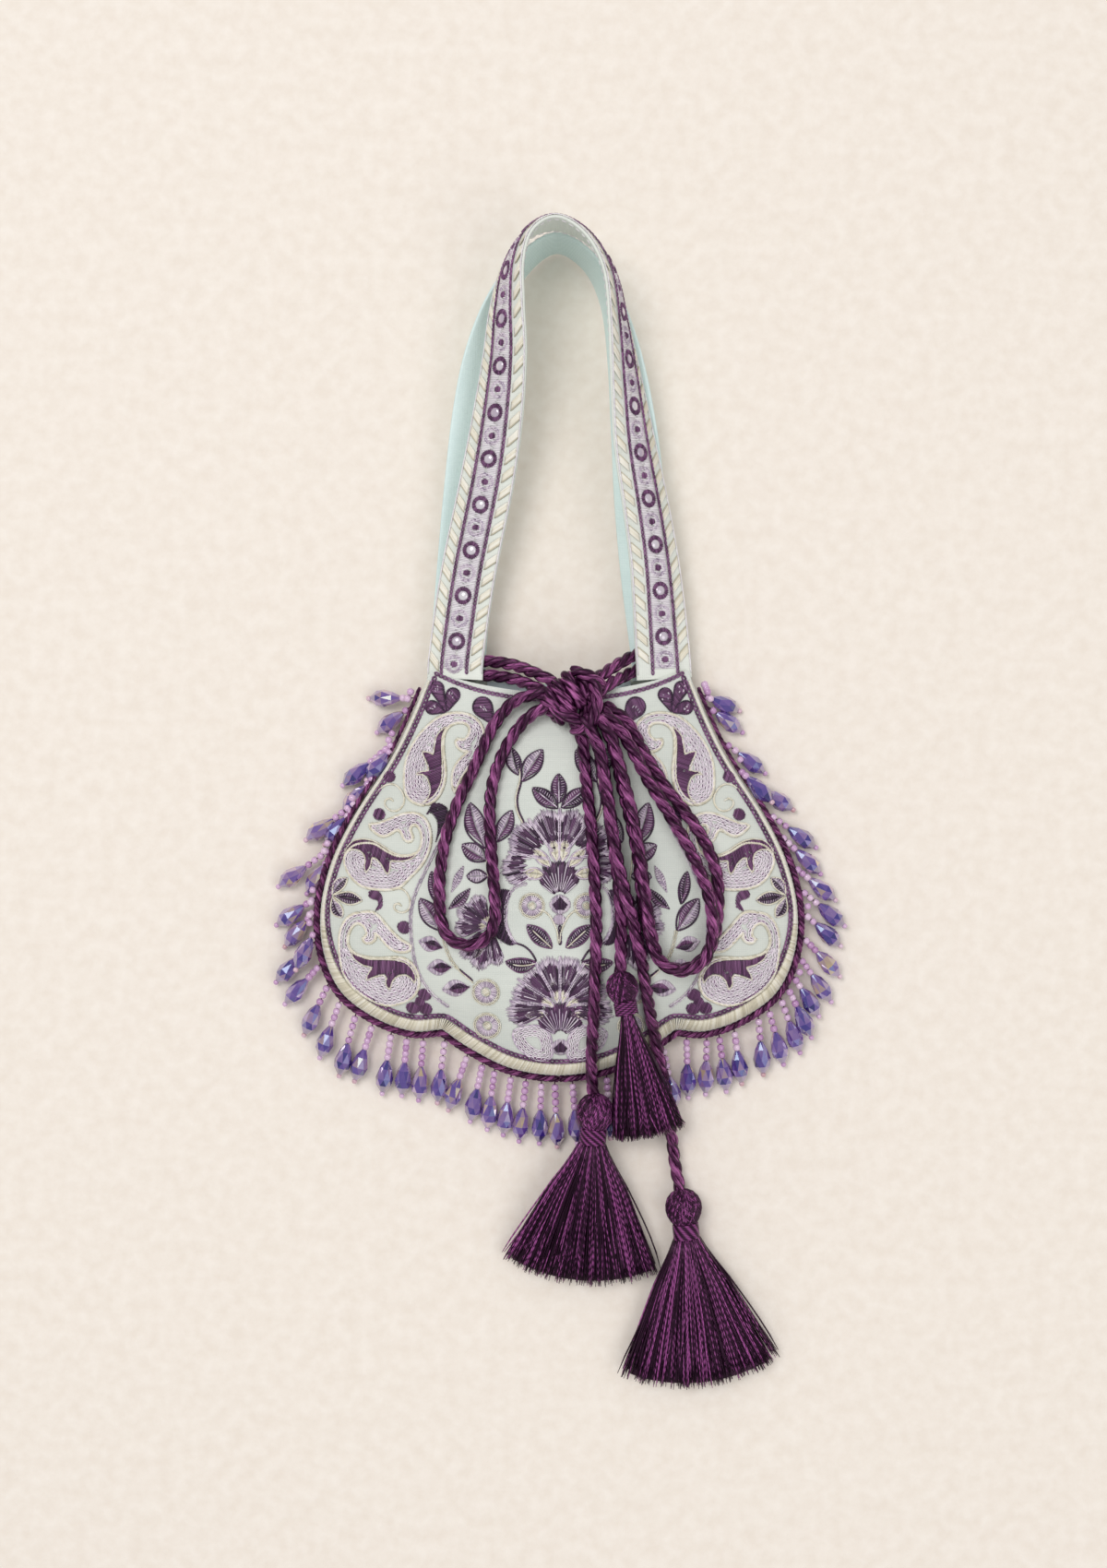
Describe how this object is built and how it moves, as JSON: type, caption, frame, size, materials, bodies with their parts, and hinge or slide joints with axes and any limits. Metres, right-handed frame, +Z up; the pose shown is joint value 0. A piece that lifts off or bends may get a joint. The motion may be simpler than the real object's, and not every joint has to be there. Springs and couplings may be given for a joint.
{
  "type": "silk drawstring bag",
  "caption": "Embroidered pale mint silk drawstring bag with scalloped edge, strap handles, plum twisted cord bow, silk tassels and a violet glass drop fringe, lying on its back.",
  "frame": {"origin": "middle of the back panel, on the surface the bag lies on", "axes": "X to the right of the front, Y towards the handles, Z up from the surface"},
  "size_m": [0.2389, 0.4802, 0.0489],
  "materials": {
    "silk": "pale mint silk, plain weave, soft sheen",
    "lining": "pale aqua lining silk",
    "trim": "lilac embroidered ribbon",
    "bead_glass": "faceted violet glass with an iridescent coat",
    "cord_silk": "plum twisted silk thread"
  },
  "bodies": {
    "root": {"front_panel": "silk", "back_panel": "silk", "mouth_lining": "lining", "strap_front": "silk", "strap_back": "lining", "strap_trim": "trim", "bead_fringe_left": "bead_glass", "bead_fringe_right": "bead_glass", "bow_knot": "cord_silk", "tassel_middle": "cord_silk", "tassel_long": "cord_silk", "tassel_short": "cord_silk", "drawcord_left_upper": "cord_silk", "drawcord_left_lower": "cord_silk", "drawcord_right_upper": "cord_silk", "drawcord_right_lower": "cord_silk", "bow_loop_left": "cord_silk", "bow_loop_right_upper": "cord_silk", "bow_loop_right_lower": "cord_silk", "tail_middle": "cord_silk", "tail_long": "cord_silk", "tail_short": "cord_silk"}
  },
  "joints": []
}
